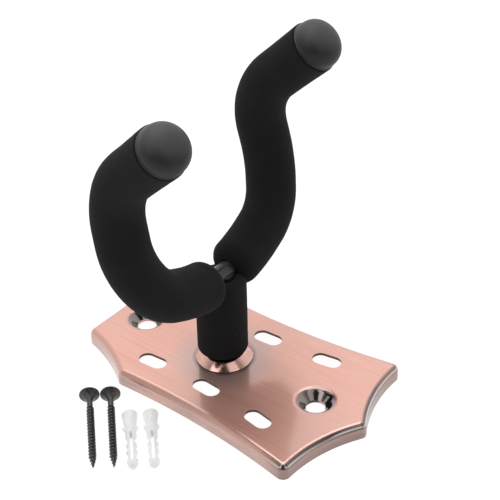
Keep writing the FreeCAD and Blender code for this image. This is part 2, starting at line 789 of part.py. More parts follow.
def plug(name, place):
    """Split wall plug: flared mouth, two wings, and barbed legs with a slit between them."""
    flare_end, legs_start, first_barb, barb_step = 7.5, 13.0, 17.0, 3.8
    points = [
        ("plug_bore", "0"),
        ("plug_mouth_radius", "0"),
        ("plug_mouth_radius", "-0.8"),
        ("plug_radius", f"-{flare_end}"),
        ("plug_radius", f"-{legs_start}"),
        ("plug_leg_radius", f"-{legs_start + 1.5}"),
    ]
    for barb in range(2):
        start = first_barb + barb * barb_step
        points.append(("plug_leg_radius", f"-{start:.1f}"))
        points.append(("plug_barb_radius", f"-{start + 0.6:.1f}"))
        points.append(("plug_leg_radius", f"-{start + 2.2:.1f}"))
    points += [
        ("plug_leg_radius", "4.6 - plug_length"),
        ("plug_barb_radius", "4.0 - plug_length"),
        ("plug_barb_radius", "2.2 - plug_length"),
        ("1.2", "-plug_length"),
        ("0", "-plug_length"),
        ("0", "2.5 - plug_length"),
        ("plug_bore_end", "3.0 - plug_length"),
    ]
    body = turned(name, points)
    slit = profile(
        body,
        "slit",
        "YZ_Plane",
        [
            ("-plug_slit / 2", "3 - plug_length"),
            ("plug_slit / 2", "3 - plug_length"),
            ("plug_slit / 2", "-12"),
            ("-plug_slit / 2", "-12"),
        ],
    )
    cut_checked(body, "slit_cut", "Pocket", Profile=slit, Length=20, Midplane=True)
    for side, word in ((-1, "left"), (1, "right")):
        inner, outer = f"{side} * (plug_radius - 0.4)", f"{side} * plug_wing_radius"
        corners = [(inner, "-7.0"), (outer, "-7.0"), (outer, "-8.2"), (inner, "-10.0")]
        wing = profile(body, f"wing_{word}", "YZ_Plane", corners)
        feature(body, "Pad", f"wing_{word}_pad", Profile=wing, Length=1.2, Midplane=True)
    x, y, heading = place
    far = size("plug_length") - 4.0
    body.Placement = lying(x, y, heading, size("plug_mouth_radius"), size("plug_barb_radius"), far)
    return body


# ---------------------------------------------------------------- build and write

NODES = [
    base_plate(),
    stem_collar(),
    backing_washer(),
    friction_washer(),
    retaining_washer(),
    pivot_bolt(),
    stem_rod(),
    yoke_rod(),
    hub_weld(),
    foam_stem(),
    foam_arm("foam_left", 1),
    foam_arm("foam_right", -1),
    end_cap("cap_left", 1),
    end_cap("cap_right", -1),
    group("wall_screws", [screw(f"screw_{n}", place) for n, place in enumerate(SCREW_PLACES, 1)]),
    group("wall_plugs", [plug(f"plug_{n}", place) for n, place in enumerate(PLUG_PLACES, 1)]),
]
doc.recompute()

for item in doc.Objects:
    if {"Invalid", "Error"} & set(item.State):
        raise RuntimeError(f"{item.Label} did not compute: {item.State}")

os.makedirs("parts", exist_ok=True)
for node in NODES:
    shape = node.Shape
    if shape.isNull() or not shape.isValid() or not shape.Solids:
        raise RuntimeError(f"{node.Label} is not a valid solid")
    shape.exportStep(f"parts/{node.Label}.step")
    print(f"{node.Label}: {len(shape.Solids)} solid(s), {shape.Volume / 1000:.2f} cm3")
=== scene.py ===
import math

import bmesh
import bpy
import numpy as np
from mathutils import Matrix, Vector, noise

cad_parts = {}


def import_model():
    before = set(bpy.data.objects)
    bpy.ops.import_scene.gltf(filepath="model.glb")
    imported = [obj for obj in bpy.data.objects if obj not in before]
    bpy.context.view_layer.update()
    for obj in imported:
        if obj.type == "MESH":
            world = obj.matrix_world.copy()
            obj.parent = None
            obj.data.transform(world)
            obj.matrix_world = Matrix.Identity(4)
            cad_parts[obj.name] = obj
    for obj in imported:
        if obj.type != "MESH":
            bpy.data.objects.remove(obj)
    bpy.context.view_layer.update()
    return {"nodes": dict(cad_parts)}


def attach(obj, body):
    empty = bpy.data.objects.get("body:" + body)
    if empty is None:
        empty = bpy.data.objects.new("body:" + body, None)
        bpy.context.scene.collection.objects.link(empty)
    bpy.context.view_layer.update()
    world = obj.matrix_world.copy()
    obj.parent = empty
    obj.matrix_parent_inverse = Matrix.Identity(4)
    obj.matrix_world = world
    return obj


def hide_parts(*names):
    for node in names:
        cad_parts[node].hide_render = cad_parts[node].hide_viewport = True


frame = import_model()
nodes = frame["nodes"]
MM = 0.001

# ---------------------------------------------------------------- places and sizes, in millimetres
#
# They are the CAD model's, but the foam's ends and lean and the caps' domes follow the photo more closely.

SIDES = ((1, "left"), (-1, "right"))
YOKE_TURN = 2.7
HUB = (0.6, 0.0, 42.3)
HUB_BEND = 64
ARM = [(-1.7, 37.4, 58.0), (-8.2, 45.9, 75.7), (-14.5, 44.3, 106.1), (12.5, 47.0, 132.2)]
ARM_BENDS = [24.5, 38, 27]
ROD_RADIUS = 4.0
STEM_RADIUS = 5.0

ARM_FOAM_START = {"left": 4.7, "right": 6.5}
ARM_FOAM_RADIUS = 10.3
ARM_FOAM_ROUNDS = (6.0, 0.7)
ARM_FOAM_SWELL = 0.35
STEM_FOAM = (12.0, 47.6)
STEM_FOAM_RADIUS = 10.4
STEM_FOAM_ROUNDS = (1.4, 3.4)
STEM_FOAM_LEAN = (-0.40, -0.33, 0.0)
FOAM_PLAY = 0.1

CAP_RADIUS = 10.2
CAP_SKIRT = 0.8
CAP_RISE = 8.4
CAP_FULLNESS = 2.4
CAP_BORE_DEPTH = 6.5
CAP_PLAY = 0.05

PLATE_TOP = 6.7
HOLES_MIDDLE = 1.8
HOLES_REACH = 44.8

# x, y and heading in degrees
SCREWS = [(-30.0, -49.7, -44.9), (-23.6, -44.2, -45.5)]
PLUGS = [(-9.2, -48.6, -45.4), (-3.0, -43.1, -45.5)]

yoke_matrix = Matrix.Rotation(math.radians(YOKE_TURN), 4, "Z")


# ---------------------------------------------------------------- mesh helpers

# Faces of a box whose points are its top's four corners, then its foot's, in the same order round.
BOX_FACES = [(0, 1, 2, 3), (7, 6, 5, 4), (0, 4, 5, 1), (1, 5, 6, 2), (2, 6, 7, 3), (3, 7, 4, 0)]


def mesh_object(name, vertices, faces, smooth=True):
    """A mesh object from points in millimetres."""
    mesh = bpy.data.meshes.new(name)
    mesh.from_pydata([tuple(c * MM for c in v) for v in vertices], [], faces)
    mesh.validate()
    work = bmesh.new()
    work.from_mesh(mesh)
    bmesh.ops.recalc_face_normals(work, faces=work.faces)
    work.to_mesh(mesh)
    work.free()
    if smooth:
        mesh.polygons.foreach_set("use_smooth", [True] * len(mesh.polygons))
    piece = bpy.data.objects.new(name, mesh)
    bpy.context.scene.collection.objects.link(piece)
    return piece


def sharpen(piece, degrees):
    """Keeps the edges that turn by more than the angle crisp."""
    work = bmesh.new()
    work.from_mesh(piece.data)
    limit = math.radians(degrees)
    for edge in work.edges:
        edge.smooth = len(edge.link_faces) < 2 or edge.calc_face_angle(0) < limit
    work.to_mesh(piece.data)
    work.free()
    return piece


def tube_along(stations, profile, segments, closed=True, offset=None):
    """Rings round a path.

    stations(s) gives the centre and two cross directions at a distance along the path; profile is a list of
    (distance, radius) pairs. A radius of 0 makes one point. offset(point, s, radius) adds to the radius. When
    closed, the last ring meets the first. Returns vertices and faces.
    """
    vertices, rings, faces = [], [], []
    for s, radius in profile:
        centre, u, v = stations(s)
        if radius == 0:
            rings.append([len(vertices)])
            vertices.append(centre)
            continue
        ring = []
        for k in range(segments):
            angle = 2 * math.pi * k / segments
            out = u * math.cos(angle) + v * math.sin(angle)
            reach = radius + (offset(centre + out * radius, s, radius) if offset else 0)
            ring.append(len(vertices))
            vertices.append(centre + out * reach)
        rings.append(ring)
    pairs = list(zip(rings, rings[1:]))
    if closed:
        pairs.append((rings[-1], rings[0]))
    for low, high in pairs:
        for k in range(segments):
            n = (k + 1) % segments
            if len(low) == 1 and len(high) == 1:
                break
            if len(low) == 1:
                faces.append((low[0], high[k], high[n]))
            elif len(high) == 1:
                faces.append((low[k], low[n], high[0]))
            else:
                faces.append((low[k], low[n], high[n], high[k]))
    return vertices, faces


def straight(origin, direction):
    """Stations along a straight axis."""
    axis = Vector(direction).normalized()
    side = axis.orthogonal().normalized()
    other = axis.cross(side)
    start = Vector(origin)
    return lambda s: (start + axis * s, side, other)


def bend(before, at, after, radius):
    """Centre and two ends of the arc that rounds a corner."""
    back = (before - at).normalized()
    on = (after - at).normalized()
    half = back.angle(on) / 2
    reach = radius / math.tan(half)
    centre = at + (back + on).normalized() * (radius / math.sin(half))
    return centre, at + back * reach, at + on * reach


def arc_point(centre, start, end, share):
    """The point that lies a share of the way round from start to end."""
    first, last = start - centre, end - centre
    angle = first.angle(last)
    return centre + (first * math.sin((1 - share) * angle) + last * math.sin(share * angle)) / math.sin(angle)


def arc_points(centre, start, end, step):
    """Points round an arc, the first left out."""
    angle = (start - centre).angle(end - centre)
    count = max(2, math.ceil(angle * (start - centre).length / step))
    return [arc_point(centre, start, end, k / count) for k in range(1, count + 1)]


def run_points(start, end, step):
    """Points along a straight run, the first left out."""
    count = max(1, math.ceil((end - start).length / step))
    return [start.lerp(end, k / count) for k in range(1, count + 1)]


def rounded_route(points, radii, step):
    """A route of straight runs and tangent arcs, as closely spaced points."""
    route = [points[0]]
    for index, radius in enumerate(radii, start=1):
        centre, start, end = bend(points[index - 1], points[index], points[index + 1], radius)
        route += run_points(route[-1], start, step)
        route += arc_points(centre, start, end, step)
    return route + run_points(route[-1], points[-1], step)


def along(route):
    """Stations along a route of points, with frames that don't twist."""
    points = np.array(route)
    lengths = np.concatenate([[0], np.cumsum(np.linalg.norm(np.diff(points, axis=0), axis=1))])
    tangents = [(Vector(b) - Vector(a)).normalized() for a, b in zip(route, route[1:])]
    tangents.append(tangents[-1])
    sides = [tangents[0].cross(Vector((1, 0, 0))).normalized()]
    for before, now in zip(tangents, tangents[1:]):
        turned = before.rotation_difference(now) @ sides[-1]
        sides.append((turned - now * turned.dot(now)).normalized())

    def station(s):
        index = int(np.clip(np.searchsorted(lengths, s) - 1, 0, len(route) - 2))
        share = (s - lengths[index]) / (lengths[index + 1] - lengths[index])
        centre = Vector(points[index]).lerp(Vector(points[index + 1]), share)
        within = min(max(share, 0), 1)
        tangent = tangents[index].lerp(tangents[index + 1], within).normalized()
        side = sides[index].lerp(sides[index + 1], within)
        side = (side - tangent * side.dot(tangent)).normalized()
        return centre, side, tangent.cross(side)

    return station, float(lengths[-1])


def transform(piece, matrix):
    """Moves a piece's mesh; the matrix's move is in millimetres."""
    scaled = matrix.copy()
    scaled.translation = matrix.translation * MM
    piece.data.transform(scaled)
    piece.data.update()
    return piece


def cut(piece, tool):
    """Cuts tool out of piece, and removes tool."""
    modifier = piece.modifiers.new("cut", "BOOLEAN")
    modifier.operation = "DIFFERENCE"
    modifier.solver = "EXACT"
    modifier.object = tool
    bpy.context.view_layer.update()
    evaluated = piece.evaluated_get(bpy.context.evaluated_depsgraph_get())
    result = bpy.data.meshes.new_from_object(evaluated)
    piece.modifiers.clear()
    piece.data = result
    bpy.data.objects.remove(tool)


def join(name, pieces):
    """Makes one object of several."""
    work = bmesh.new()
    for piece in pieces:
        work.from_mesh(piece.data)
    mesh = bpy.data.meshes.new(name)
    work.to_mesh(mesh)
    work.free()
    for piece in pieces:
        bpy.data.objects.remove(piece)
    joined = bpy.data.objects.new(name, mesh)
    bpy.context.scene.collection.objects.link(joined)
    return joined


def finish_piece(piece, body, slot, material, *replaced):
    """Gives a new piece its material and body, and hides the CAD nodes that it stands for; slot is not used.
    """
    piece.data.materials.clear()
    piece.data.materials.append(material)
    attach(piece, body)
    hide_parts(*replaced)


# ---------------------------------------------------------------- material helpers


def rgba(value):
    """Adds the alpha that a colour socket asks for; anything but a plain colour stays as it is."""
    return (*value, 1) if isinstance(value, tuple) and len(value) == 3 else value


def fill_ramp(node, stops):
    """Sets a ramp node's stops; each is (position, grey or rgb)."""
    elements = node.color_ramp.elements
    while len(elements) < len(stops):
        elements.new(0.5)
    for element, (position, colour) in zip(elements, stops):
        element.position = position
        element.color = (*((colour,) * 3 if isinstance(colour, float) else colour), 1)


class Shade:
    """A node material with a Principled shader, and short ways to add to it."""

    def __init__(self, name, **sockets):
        """Sockets that are the same all over are given by name, with _ for a space."""
        self.material = bpy.data.materials.new(name)
        self.material.use_nodes = True
        self.tree = self.material.node_tree
        self.shader = self.tree.nodes["Principled BSDF"]
        for key, value in sockets.items():
            self.shader.inputs[key.replace("_", " ")].default_value = value
        self.bumps = None

    def add(self, kind, inputs=(), **settings):
        """A new node, with its inputs linked or set."""
        node = self.tree.nodes.new(kind)
        for key, value in settings.items():
            setattr(node, key, value)
        for key, value in dict(inputs).items():
            self.plug(value, node.inputs[key])
        return node

    def plug(self, value, socket):
        """Links a node or an output to a socket, or sets the socket to a plain value."""
        if isinstance(value, bpy.types.NodeSocket):
            self.tree.links.new(value, socket)
        elif isinstance(value, bpy.types.Node):
            self.tree.links.new(value.outputs[0], socket)
        else:
            socket.default_value = value

    def place(self, stretch=(1, 1, 1)):
        """Object coordinates in millimetres, scaled along each axis."""
        coordinates = self.add("ShaderNodeTexCoord").outputs["Object"]
        scale = tuple(s / MM for s in stretch)
        return self.add("ShaderNodeMapping", {"Vector": coordinates, "Scale": scale})

    def noise(self, scale, detail=4.0, roughness=0.55, stretch=(1, 1, 1)):
        """Noise; scale is in features per millimetre."""
        inputs = {"Vector": self.place(stretch), "Scale": scale, "Detail": detail, "Roughness": roughness}
        return self.add("ShaderNodeTexNoise", inputs).outputs["Fac"]

    def cells(self, scale, output="Distance"):
        """Voronoi cells; scale is in cells per millimetre."""
        inputs = {"Vector": self.place(), "Scale": scale}
        return self.add("ShaderNodeTexVoronoi", inputs, feature="F1").outputs[output]

    def ramp(self, value, stops):
        """A colour ramp; stops are (position, rgb)."""
        node = self.add("ShaderNodeValToRGB", {"Fac": value})
        fill_ramp(node, stops)
        return node.outputs["Color"]

    def span(self, value, low, high, to_low=0.0, to_high=1.0, smooth=False):
        """Maps a range of a value on another range, clamped."""
        inputs = {"Value": value, "From Min": low, "From Max": high, "To Min": to_low, "To Max": to_high}
        kind = "SMOOTHSTEP" if smooth else "LINEAR"
        return self.add("ShaderNodeMapRange", inputs, interpolation_type=kind).outputs["Result"]

    def maths(self, operation, a, b=0.0):
        """One Math node."""
        return self.add("ShaderNodeMath", {0: a, 1: b}, operation=operation).outputs[0]

    def product(self, a, b):
        """The overlap of two masks."""
        return self.maths("MULTIPLY", a, b)

    def distance(self, x, y):
        """The length of (x, y)."""
        return self.maths("SQRT", self.maths("ADD", self.product(x, x), self.product(y, y)))

    def mix(self, factor, a, b, blend="MIX"):
        """Mixes two colours; of the Mix node's sockets, 6, 7 and output 2 are the colours."""
        node = self.add("ShaderNodeMix", {"Factor": factor}, data_type="RGBA", blend_type=blend)
        self.plug(rgba(a), node.inputs[6])
        self.plug(rgba(b), node.inputs[7])
        return node.outputs[2]

    def normal_z(self):
        """How far the surface faces up: 1 on a flat top, 0 on a wall, -1 below."""
        normal = self.add("ShaderNodeTexCoord").outputs["Normal"]
        return self.add("ShaderNodeSeparateXYZ", {"Vector": normal}).outputs["Z"]

    def position_parts(self):
        """x, y and z in the frame, in millimetres."""
        return self.add("ShaderNodeSeparateXYZ", {"Vector": self.place()}).outputs

    def bump(self, height, distance, strength=1.0):
        """Adds a bump; distance in millimetres."""
        inputs = {"Height": height, "Distance": distance * MM, "Strength": strength}
        if self.bumps is not None:
            inputs["Normal"] = self.bumps
        self.bumps = self.add("ShaderNodeBump", inputs).outputs["Normal"]
        self.plug(self.bumps, self.shader.inputs["Normal"])

    def set(self, key, value):
        """Links or sets one of the shader's own sockets."""
        self.plug(rgba(value), self.shader.inputs[key])


# ---------------------------------------------------------------- materials

COPPER = (0.80, 0.385, 0.295)
COPPER_LIGHT = (0.82, 0.50, 0.43)
COPPER_DEEP = (0.58, 0.23, 0.16)
POLISHED = (0.66, 0.39, 0.32)
POLISHED_LIGHT = (0.76, 0.50, 0.43)
SHOULDER_SHADE = (0.62, 0.33, 0.26)
PAINTED_DARK_BRONZE = (0.085, 0.058, 0.05)
COLLAR_SHADOW = (0.10, 0.06, 0.05)
GUNMETAL = (0.19, 0.15, 0.14)
CREST_HIGHLIGHT = (0.58, 0.49, 0.455)
STEM_REFLECTION_GREY = (0.42, 0.36, 0.35)
SIDE_STAIN = (0.30, 0.20, 0.175)
END_WALL_SHADE = (0.20, 0.135, 0.125)
SLOT_SHADE = (0.06, 0.038, 0.031)
COAT, COAT_BARE = 0.85, 0.1


def plate_copper():
    """Antique copper plating under lacquer, brushed along X; painted reflections on its rounded edges,
    painted shade on the walls of its slots and wide end and on the edges' shoulders, and a painted reflection
    and shadow round the collar.
    """
    shade = Shade("plate_copper", Coat_Roughness=0.09, Coat_IOR=1.9, Anisotropic=0.5)
    strokes = shade.noise(1.5, 4, 0.6, (0.012, 1, 1))
    hairs = shade.noise(6.0, 3, 0.7, (0.02, 1, 1))
    clouds = shade.noise(0.022, 2, 0.5)
    patches = shade.noise(0.05, 3, 0.5)
    runs = shade.noise(0.3, 4, 0.6, (0.15, 0.15, 1))
    x, y, _ = shade.position_parts()
    up = shade.normal_z()

    # masks: turned is 0 on walls and below, and by_slots is a rectangle round the slots, clear of the rim
    turned = shade.span(up, 0.08, 0.3)
    bent = shade.product(turned, shade.span(up, 0.97, 0.86))
    shoulder = shade.product(turned, shade.span(up, 0.999, 0.98))
    wall = shade.span(shade.maths("ABSOLUTE", up), 0.4, 0.05)
    off_middle = shade.maths("ABSOLUTE", shade.maths("SUBTRACT", x, HOLES_MIDDLE))
    dimple = shade.span(shade.distance(shade.maths("SUBTRACT", off_middle, HOLES_REACH), y), 9.0, 8.4)
    # where the painted edge reflections show: in patches, strongest at the wide end, and in the dimples
    band_strength = shade.product(shade.span(patches, 0.3, 0.6, 0.7, 1.0), shade.span(x, 46.0, 60.0, 0.1, 1.0))
    painted_edge_bands = shade.product(bent, shade.maths("MAXIMUM", band_strength, dimple))
    by_slots = shade.product(shade.span(shade.maths("ABSOLUTE", y), 30.0, 29.0), shade.span(x, 46.0, 45.0))
    by_slots = shade.product(by_slots, shade.span(x, -31.0, -30.0))
    slot_wall = shade.product(wall, by_slots)
    shaded_end_wall = shade.product(wall, shade.span(x, 50.0, 60.0))
    from_stem = shade.distance(x, y)

    tone = shade.ramp(strokes, [(0.2, COPPER_DEEP), (0.5, COPPER), (0.85, COPPER_LIGHT)])
    tone = shade.mix(0.3, tone, COPPER)
    tone = shade.mix(shade.span(clouds, 0.35, 0.7, 0.0, 0.4), tone, COPPER_LIGHT)
    # painted reflection: the stem's grey reflection, blurred, on the plate round the collar
    tone = shade.mix(shade.span(from_stem, 26.0, 11.0, 0.0, 0.6, smooth=True), tone, STEM_REFLECTION_GREY)
    # painted shadow: a dark ring on the plate at the collar's foot
    tone = shade.mix(shade.span(from_stem, 13.6, 12.0, 0.0, 0.6), tone, COLLAR_SHADOW)
    tone = shade.mix(shade.product(wall, shade.span(runs, 0.35, 0.65, 0.35, 0.9)), tone, SIDE_STAIN)
    # painted shade: the walls of the wide end are darker
    tone = shade.mix(shade.product(shaded_end_wall, 0.6), tone, END_WALL_SHADE)
    # painted shade on the slots' inner walls
    tone = shade.mix(slot_wall, tone, SLOT_SHADE)
    # painted shade along the shoulder where each edge starts to round, dimming its highlight
    tone = shade.mix(shade.product(shoulder, 0.8), tone, SHOULDER_SHADE)
    # painted reflections across each rounded edge: dark bands either side of a light crest
    edge = shade.ramp(up, [(0.34, PAINTED_DARK_BRONZE), (0.48, CREST_HIGHLIGHT), (0.58, CREST_HIGHLIGHT), (0.72, PAINTED_DARK_BRONZE)])
    tone = shade.mix(painted_edge_bands, tone, edge)
    shade.set("Base Color", shade.mix(shade.product(bent, dimple), tone, GUNMETAL))
    shade.set("Metallic", shade.span(painted_edge_bands, 0.0, 1.0, 0.6, 0.97))
    shade.set("Roughness", shade.span(painted_edge_bands, 0.0, 1.0, 0.28, 0.15))
    bare = shade.maths("MAXIMUM", slot_wall, shade.product(shaded_end_wall, 0.7))
    shade.set("Coat Weight", shade.span(bare, 0.0, 1.0, COAT, COAT_BARE))
    shade.bump(strokes, 0.003, 0.5)
    shade.bump(hairs, 0.001, 0.5)
    return shade.material


def collar_copper():
    """Polished copper, turned on a lathe: fine rings round the axis, and painted shade along its foot."""
    shade = Shade("collar_copper", Metallic=1.0, Anisotropic=0.3)
    _, _, z = shade.position_parts()
    clouds = shade.noise(0.3, 3, 0.5)
    rings = shade.noise(5.0, 2, 0.5, (0.02, 0.02, 1))
    tone = shade.ramp(clouds, [(0.3, POLISHED), (0.7, POLISHED_LIGHT)])
    # painted shade: the collar's foot is darkened where it meets the plate
    foot = shade.span(z, PLATE_TOP + 0.7, PLATE_TOP + 0.3, 0.0, 0.9)
    shade.set("Base Color", shade.mix(foot, tone, PAINTED_DARK_BRONZE))
    shade.set("Roughness", shade.span(rings, 0.3, 0.7, 0.14, 0.2))
    shade.bump(rings, 0.002, 0.4)
    return shade.material


def black_gloss():
    """Black electroplated rod: satin, a little uneven."""
    shade = Shade("black_gloss", Coat_Weight=0.3, Coat_Roughness=0.2)
    grain = shade.noise(0.8, 4, 0.6)
    shade.set("Base Color", shade.ramp(grain, [(0.3, (0.006, 0.006, 0.0065)), (0.7, (0.014, 0.0135, 0.014))]))
    shade.set("Roughness", shade.span(grain, 0.3, 0.7, 0.28, 0.42))
    shade.bump(shade.noise(0.6, 3), 0.03, 0.5)
    return shade.material


def foam_skin():
    """Closed-cell foam: matte black, finely pitted, with a few specks of dust."""
    shade = Shade("foam_skin", Specular_IOR_Level=0.12, Sheen_Weight=0.02, Sheen_Roughness=0.5)
    pits = shade.cells(4.5)
    grain = shade.noise(2.2, 5, 0.65)
    clouds = shade.noise(0.12, 3, 0.5)
    tone = shade.ramp(grain, [(0.3, (0.0080, 0.0080, 0.0083)), (0.7, (0.0140, 0.0140, 0.0144))])
    tone = shade.mix(shade.span(clouds, 0.35, 0.65, 0.0, 0.35), tone, (0.0155, 0.0155, 0.0160))
    tone = shade.mix(shade.span(shade.cells(0.13), 0.036, 0.022), tone, (0.06, 0.056, 0.053))
    shade.set("Base Color", tone)
    shade.set("Roughness", shade.span(grain, 0.3, 0.7, 0.9, 1.0))
    shade.bump(pits, 0.05, 0.35)
    shade.bump(grain, 0.06, 0.4)
    return shade.material


def cap_rubber():
    """Moulded rubber: satin dark grey with a fine spark-eroded grain, and painted paler where it faces up, as
    painted light from above.
    """
    shade = Shade("cap_rubber", Specular_IOR_Level=0.3, Sheen_Weight=0.03, Sheen_Roughness=0.35)
    grain = shade.noise(2.4, 5, 0.65)
    clouds = shade.noise(0.25, 4, 0.55)
    tone = shade.ramp(clouds, [(0.3, (0.009, 0.009, 0.0095)), (0.7, (0.013, 0.013, 0.0135))])
    # painted light: paler where the surface faces up
    painted_top_light = shade.span(shade.normal_z(), 0.2, 1.0, smooth=True)
    shade.set("Base Color", shade.mix(painted_top_light, tone, (0.064, 0.064, 0.065)))
    shade.set("Roughness", shade.span(grain, 0.3, 0.7, 0.42, 0.56))
    shade.bump(grain, 0.035, 0.35)
    return shade.material


def screw_steel():
    """Black phosphated steel, mottled with grey."""
    shade = Shade("screw_steel", Metallic=0.85)
    grain = shade.noise(1.5, 5, 0.65)
    shade.set("Base Color", shade.ramp(grain, [(0.3, (0.045, 0.042, 0.043)), (0.7, (0.13, 0.12, 0.12))]))
    shade.set("Roughness", shade.span(grain, 0.3, 0.7, 0.32, 0.55))
    shade.bump(grain, 0.03, 0.4)
    return shade.material


def plug_plastic():
    """White polythene, a little cloudy, with a faint painted glow that stands in for the table's light coming
    through it.
    """
    shade = Shade("plug_plastic", Specular_IOR_Level=0.4, Emission_Strength=0.12)
    # painted glow: the plastic emits a little light
    shade.set("Emission Color", (1.0, 1.0, 0.99))
    clouds = shade.noise(0.4, 4, 0.5)
    shade.set("Base Color", shade.ramp(clouds, [(0.3, (0.78, 0.78, 0.775)), (0.7, (0.86, 0.86, 0.855))]))
    shade.set("Roughness", shade.span(clouds, 0.3, 0.7, 0.34, 0.48))
    shade.bump(shade.noise(1.2, 3), 0.02, 0.3)
    return shade.material


def zinc():
    """Bright zinc plating with a faint spangle."""
    shade = Shade("zinc", Metallic=1.0)
    shade.set("Base Color", shade.mix(0.25, (0.60, 0.61, 0.62), shade.cells(0.9, "Color"), "SOFT_LIGHT"))
    shade.set("Roughness", shade.span(shade.noise(1.0, 4), 0.3, 0.7, 0.26, 0.44))
    shade.bump(shade.noise(2.0, 4), 0.02, 0.4)
    return shade.material


def nylon():
    """Natural nylon."""
    shade = Shade("nylon", Roughness=0.5, Subsurface_Weight=0.2, Subsurface_Scale=0.001)
    clouds = shade.noise(0.8, 4, 0.5)
    shade.set("Base Color", shade.ramp(clouds, [(0.3, (0.70, 0.68, 0.62)), (0.7, (0.80, 0.78, 0.72))]))
    shade.bump(clouds, 0.02, 0.3)
    return shade.material


MATERIALS = {
    "plate_copper": plate_copper(),
    "collar_copper": collar_copper(),
    "black_gloss": black_gloss(),
    "foam_skin": foam_skin(),
    "cap_rubber": cap_rubber(),
    "screw_steel": screw_steel(),
    "plug_plastic": plug_plastic(),
    "zinc": zinc(),
    "nylon": nylon(),
}

CAD_FINISHES = {
    "base_plate": "plate_copper",
    "stem_collar": "collar_copper",
    "backing_washer": "zinc",
    "retaining_washer": "zinc",
    "pivot_bolt": "zinc",
    "friction_washer": "nylon",
    "stem_rod": "black_gloss",
    "yoke_rod": "black_gloss",
    "hub_weld": "black_gloss",
}
for node, finish in CAD_FINISHES.items():
    nodes[node].data.materials.clear()
    nodes[node].data.materials.append(MATERIALS[finish])


# ---------------------------------------------------------------- foam


def round_end(radius, rounding, at, way, steps=9):
    """Profile points that turn from the outside to the end face over a rounding."""
    points = []
    for k in range(steps + 1):
        angle = math.pi / 2 * k / steps
        inset = rounding * (1 - math.sin(angle))
        drop = rounding * (1 - math.cos(angle))
        points.append((at + way * inset, radius - drop))
    return points


# the skin's waves: how many to a millimetre, and their height
SLOW_WAVES = (0.045, 0.12)
QUICK_WAVES = (0.3, 0.05)
SWELL_LENGTH = 26
RING_STEP = 1.2
BORE_STEPS = 12
BORE_CHAMFER = 0.6
SLEEVE_SEGMENTS = 96


def sleeve(name, stations, ends, radii, rounds, seed, lean=(0, 0, 0), swell=0.0):
    """A foam tube with soft ends and a skin that is never quite even.

    Its outside can lean to one side, and swell where a cap presses on its far end.
    """
    start, end = ends
    radius, bore = radii
    start_round, end_round = rounds
    shift = Vector(lean)

    def uneven(point, s, at_radius):
        if at_radius < bore + 1.5:
            return 0
        slow = noise.noise(point * SLOW_WAVES[0] + Vector((seed, 0, 0))) * SLOW_WAVES[1]
        quick = noise.noise(point * QUICK_WAVES[0] + Vector((0, seed, 0))) * QUICK_WAVES[1]
        pressed = swell * min(1, max(0, 1 - (end - s) / SWELL_LENGTH)) ** 1.5
        return slow + quick + pressed + shift.dot(point - stations(s)[0]) / at_radius

    run = end - start - start_round - end_round
    count = math.ceil(run / RING_STEP)
    profile = round_end(radius, start_round, start, 1)[::-1]
    profile += [(start + start_round + run * k / count, radius) for k in range(1, count)]
    profile += round_end(radius, end_round, end, -1)
    profile += [(end, bore + BORE_CHAMFER), (end - BORE_CHAMFER, bore)]
    profile += [(end - (end - start) * k / BORE_STEPS, bore) for k in range(1, BORE_STEPS)]
    profile += [(start + BORE_CHAMFER, bore), (start, bore + BORE_CHAMFER)]
    return mesh_object(name, *tube_along(stations, profile, SLEEVE_SEGMENTS, offset=uneven))


def arm_route(side, begin, step=0.5):
    """One arm's centre line, from the foam's hub end to the cap."""
    hub = Vector(HUB)
    corners = [Vector((x, side * y, z)) for x, y, z in ARM]
    other = Vector((ARM[0][0], -side * ARM[0][1], ARM[0][2]))
    centre, start, end = bend(other, hub, corners[0], HUB_BEND)
    share = 0.5 + begin / HUB_BEND / (start - centre).angle(end - centre)
    first = arc_point(centre, start, end, share)
    hub_arc = arc_points(centre, first, end, step)
    return [first] + hub_arc + rounded_route([end] + corners, ARM_BENDS, step)[1:]


def press_tool(station):
    """What an arm's foam presses out of the stem's: its own tube, tapered where the foam's end is rounded."""
    hollow = ARM_FOAM_RADIUS + FOAM_PLAY
    profile = [(0.0, 0), (0.0, 3.0), (4.0, 6.5), (9.0, 9.4)]
    profile += [(s, hollow) for s in range(14, 31)] + [(30.0, 0)]
    return mesh_object("press", *tube_along(station, profile, SLEEVE_SEGMENTS))


def finish_foam(piece, *replaced):
    """Sets a sleeve on the turned yoke, in the foam's material."""
    transform(piece, yoke_matrix)
    finish_piece(piece, "yoke", "foam", MATERIALS["foam_skin"], *replaced)


def foams():
    """The sleeves of the stem and the two arms; the arms' ends are pressed into the stem's."""
    upright = straight((0, 0, 0), (0, 0, 1))
    radii = (STEM_FOAM_RADIUS, STEM_RADIUS + FOAM_PLAY)
    stem = sleeve("foam_stem_skin", upright, STEM_FOAM, radii, STEM_FOAM_ROUNDS, 21.7, lean=STEM_FOAM_LEAN)
    radii = (ARM_FOAM_RADIUS, ROD_RADIUS + FOAM_PLAY)
    for side, word in SIDES:
        station, length = along(arm_route(side, ARM_FOAM_START[word]))
        ends, seed = (0.0, length), 3.1 * side + 7
        arm = sleeve(f"foam_{word}_skin", station, ends, radii, ARM_FOAM_ROUNDS, seed, swell=ARM_FOAM_SWELL)
        cut(stem, press_tool(station))
        finish_foam(arm, f"foam_{word}")
    sharpen(stem, 38)
    finish_foam(stem, "foam_stem")


foams()


# ---------------------------------------------------------------- caps


# (height, offset from the cap's radius): the foot's rounded lip, then a fine groove
CAP_LIP = [(0.0, -0.35), (0.12, -0.1), (0.35, 0.1), (0.7, 0.1), (0.95, -0.05), (1.15, -0.22), (1.4, -0.16)]


